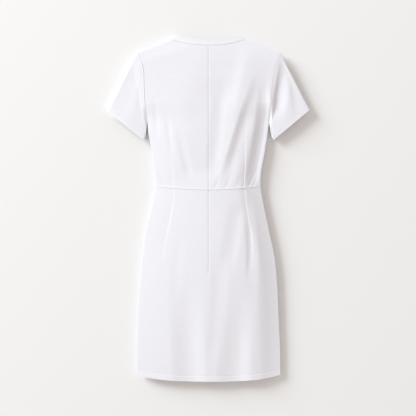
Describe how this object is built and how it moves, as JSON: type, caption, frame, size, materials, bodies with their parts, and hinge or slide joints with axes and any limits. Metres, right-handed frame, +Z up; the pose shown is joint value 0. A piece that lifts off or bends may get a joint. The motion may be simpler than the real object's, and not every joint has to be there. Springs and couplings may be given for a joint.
{
  "type": "short-sleeved knit dress",
  "caption": "Short-sleeved dress with round neckband, waist seam, centre back zip and gently flared skirt, laid flat on its front",
  "frame": {"origin": "centre of the bounding box in plan, on the floor under the dress, which lies on its front", "axes": "+Y from hem to neck along the centre back, +Z up out of the back, +X towards the sleeve on the right when the back is looked at"},
  "size_m": [0.5882, 1.005, 0.0291],
  "materials": {
    "white_knit": "matte",
    "neckband_knit": "matte",
    "zip_tape": "matte"
  },
  "bodies": {
    "root": {"bodice_front": "white_knit", "bodice_back_left": "white_knit", "bodice_back_right": "white_knit", "skirt_front": "white_knit", "skirt_back": "white_knit", "sleeve_left": "white_knit", "sleeve_right": "white_knit", "neckband": "neckband_knit", "zip": "zip_tape"}
  },
  "joints": []
}
